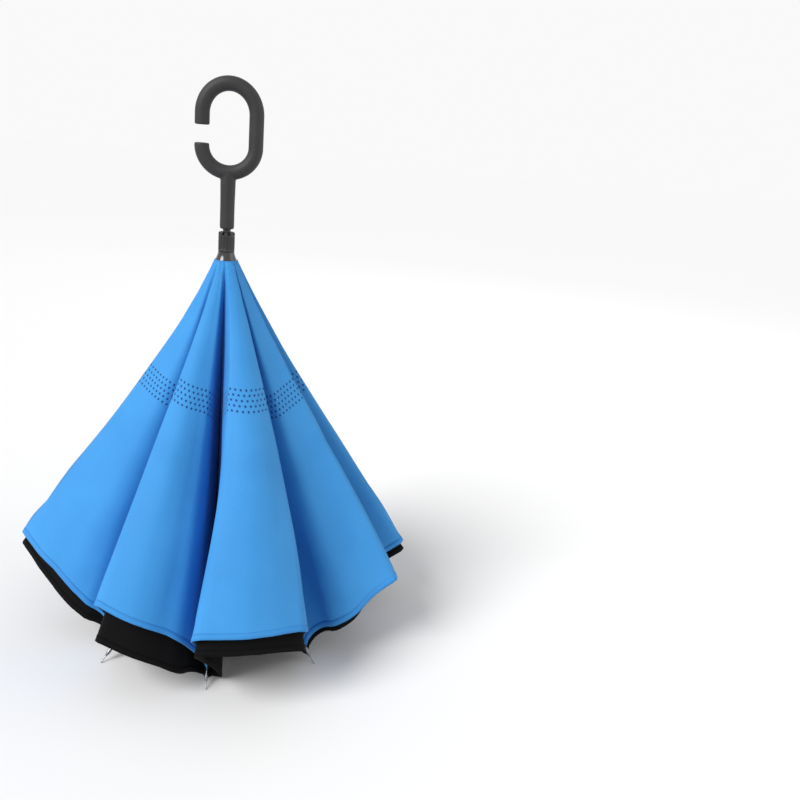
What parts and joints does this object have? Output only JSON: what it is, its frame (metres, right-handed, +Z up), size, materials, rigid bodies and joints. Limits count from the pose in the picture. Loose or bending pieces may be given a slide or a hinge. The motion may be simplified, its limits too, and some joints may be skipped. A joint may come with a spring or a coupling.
{
  "type": "inverted umbrella",
  "caption": "Inverted stick umbrella, closed and standing on its rib tips, with a two-layer cloth canopy folded outside in, coupled opening ribs and an open C-shaped grip.",
  "frame": {"origin": "on the floor, under the middle of the shaft, at the level of the rib tips", "axes": "+Z up the shaft to the handle; -Y towards the viewer of the picture, with rib 1 in front; the open side of the C grip faces -X"},
  "size_m": [0.5501, 0.5336, 0.7482],
  "materials": {
    "grip": "soft-touch matte black coating over moulded plastic",
    "shaft": "black painted steel tube",
    "plastic": "black moulded plastic",
    "runner": "black moulded plastic, fine satin",
    "gloss": "glossy black plastic",
    "steel": "zinc plated steel",
    "rib": "black glass fibre",
    "tip": "nickel plated metal",
    "blue_cloth": "lake blue pongee, satin plain weave",
    "black_cloth": "black pongee, plain weave"
  },
  "bodies": {
    "handle_and_shaft": {"handle": "grip", "shaft": "shaft", "ferrule": "plastic", "notch_hub": "plastic", "notch_wire": "steel"},
    "runner": {"runner_sleeve": "runner", "runner_skirt": "gloss", "runner_hub": "plastic", "runner_wire": "steel"},
    "stretcher_1": {"stretcher_1": "steel", "rivet_1": "steel"},
    "rib_1": {"rib_1": "rib", "tip_1": "tip", "canopy_1": "blue_cloth", "lining_1": "black_cloth"},
    "stretcher_2": {"stretcher_2": "steel", "rivet_2": "steel"},
    "rib_2": {"rib_2": "rib", "tip_2": "tip", "canopy_2": "blue_cloth", "lining_2": "black_cloth"},
    "stretcher_3": {"stretcher_3": "steel", "rivet_3": "steel"},
    "rib_3": {"rib_3": "rib", "tip_3": "tip", "canopy_3": "blue_cloth", "lining_3": "black_cloth"},
    "stretcher_4": {"stretcher_4": "steel", "rivet_4": "steel"},
    "rib_4": {"rib_4": "rib", "tip_4": "tip", "canopy_4": "blue_cloth", "lining_4": "black_cloth"},
    "stretcher_5": {"stretcher_5": "steel", "rivet_5": "steel"},
    "rib_5": {"rib_5": "rib", "tip_5": "tip", "canopy_5": "blue_cloth", "lining_5": "black_cloth"},
    "stretcher_6": {"stretcher_6": "steel", "rivet_6": "steel"},
    "rib_6": {"rib_6": "rib", "tip_6": "tip", "canopy_6": "blue_cloth", "lining_6": "black_cloth"},
    "stretcher_7": {"stretcher_7": "steel", "rivet_7": "steel"},
    "rib_7": {"rib_7": "rib", "tip_7": "tip", "canopy_7": "blue_cloth", "lining_7": "black_cloth"},
    "stretcher_8": {"stretcher_8": "steel", "rivet_8": "steel"},
    "rib_8": {"rib_8": "rib", "tip_8": "tip", "canopy_8": "blue_cloth", "lining_8": "black_cloth"}
  },
  "joints": [
    {"name": "fold", "type": "hinge", "parent": "handle_and_shaft", "child": "stretcher_1", "pos_m": [0, -0.012, 0.03405], "axis": [1, 0, 0], "range_deg": [0, 80.5]},
    {"name": "rib_hinge_1", "type": "hinge", "parent": "stretcher_1", "child": "rib_1", "pos_m": [0, -0.04152, 0.27428], "axis": [1, 0, 0], "range_deg": [-161, 0]},
    {"name": "fold_2", "type": "hinge", "parent": "handle_and_shaft", "child": "stretcher_2", "pos_m": [0.00848, -0.00848, 0.03405], "axis": [0.7071, 0.7071, 0], "range_deg": [0, 80.5]},
    {"name": "rib_hinge_2", "type": "hinge", "parent": "stretcher_2", "child": "rib_2", "pos_m": [0.02936, -0.02936, 0.27428], "axis": [0.7071, 0.7071, 0], "range_deg": [-161, 0]},
    {"name": "fold_3", "type": "hinge", "parent": "handle_and_shaft", "child": "stretcher_3", "pos_m": [0.012, 0, 0.03405], "axis": [0, 1, 0], "range_deg": [0, 80.5]},
    {"name": "rib_hinge_3", "type": "hinge", "parent": "stretcher_3", "child": "rib_3", "pos_m": [0.04152, 0, 0.27428], "axis": [0, 1, 0], "range_deg": [-161, 0]},
    {"name": "fold_4", "type": "hinge", "parent": "handle_and_shaft", "child": "stretcher_4", "pos_m": [0.00848, 0.00848, 0.03405], "axis": [-0.7071, 0.7071, 0], "range_deg": [0, 80.5]},
    {"name": "rib_hinge_4", "type": "hinge", "parent": "stretcher_4", "child": "rib_4", "pos_m": [0.02936, 0.02936, 0.27428], "axis": [-0.7071, 0.7071, 0], "range_deg": [-161, 0]},
    {"name": "fold_5", "type": "hinge", "parent": "handle_and_shaft", "child": "stretcher_5", "pos_m": [0, 0.012, 0.03405], "axis": [-1, 0, 0], "range_deg": [0, 80.5]},
    {"name": "rib_hinge_5", "type": "hinge", "parent": "stretcher_5", "child": "rib_5", "pos_m": [0, 0.04152, 0.27428], "axis": [-1, 0, 0], "range_deg": [-161, 0]},
    {"name": "fold_6", "type": "hinge", "parent": "handle_and_shaft", "child": "stretcher_6", "pos_m": [-0.00848, 0.00848, 0.03405], "axis": [-0.7071, -0.7071, 0], "range_deg": [0, 80.5]},
    {"name": "rib_hinge_6", "type": "hinge", "parent": "stretcher_6", "child": "rib_6", "pos_m": [-0.02936, 0.02936, 0.27428], "axis": [-0.7071, -0.7071, 0], "range_deg": [-161, 0]},
    {"name": "fold_7", "type": "hinge", "parent": "handle_and_shaft", "child": "stretcher_7", "pos_m": [-0.012, 0, 0.03405], "axis": [0, -1, 0], "range_deg": [0, 80.5]},
    {"name": "rib_hinge_7", "type": "hinge", "parent": "stretcher_7", "child": "rib_7", "pos_m": [-0.04152, 0, 0.27428], "axis": [0, -1, 0], "range_deg": [-161, 0]},
    {"name": "fold_8", "type": "hinge", "parent": "handle_and_shaft", "child": "stretcher_8", "pos_m": [-0.00848, -0.00848, 0.03405], "axis": [0.7071, -0.7071, 0], "range_deg": [0, 80.5]},
    {"name": "rib_hinge_8", "type": "hinge", "parent": "stretcher_8", "child": "rib_8", "pos_m": [-0.02936, -0.02936, 0.27428], "axis": [0.7071, -0.7071, 0], "range_deg": [-161, 0]},
    {"name": "runner_hinge", "type": "hinge", "parent": "rib_1", "child": "runner", "pos_m": [0, -0.012, 0.5145], "axis": [1, 0, 0], "range_deg": [0, 80.5]}
  ],
  "couplings": [
    {"joint": "rib_hinge_1", "follows": "fold", "ratio": -2},
    {"joint": "fold_2", "follows": "fold", "ratio": 1},
    {"joint": "rib_hinge_2", "follows": "fold", "ratio": -2},
    {"joint": "fold_3", "follows": "fold", "ratio": 1},
    {"joint": "rib_hinge_3", "follows": "fold", "ratio": -2},
    {"joint": "fold_4", "follows": "fold", "ratio": 1},
    {"joint": "rib_hinge_4", "follows": "fold", "ratio": -2},
    {"joint": "fold_5", "follows": "fold", "ratio": 1},
    {"joint": "rib_hinge_5", "follows": "fold", "ratio": -2},
    {"joint": "fold_6", "follows": "fold", "ratio": 1},
    {"joint": "rib_hinge_6", "follows": "fold", "ratio": -2},
    {"joint": "fold_7", "follows": "fold", "ratio": 1},
    {"joint": "rib_hinge_7", "follows": "fold", "ratio": -2},
    {"joint": "fold_8", "follows": "fold", "ratio": 1},
    {"joint": "rib_hinge_8", "follows": "fold", "ratio": -2},
    {"joint": "runner_hinge", "follows": "fold", "ratio": 1}
  ]
}
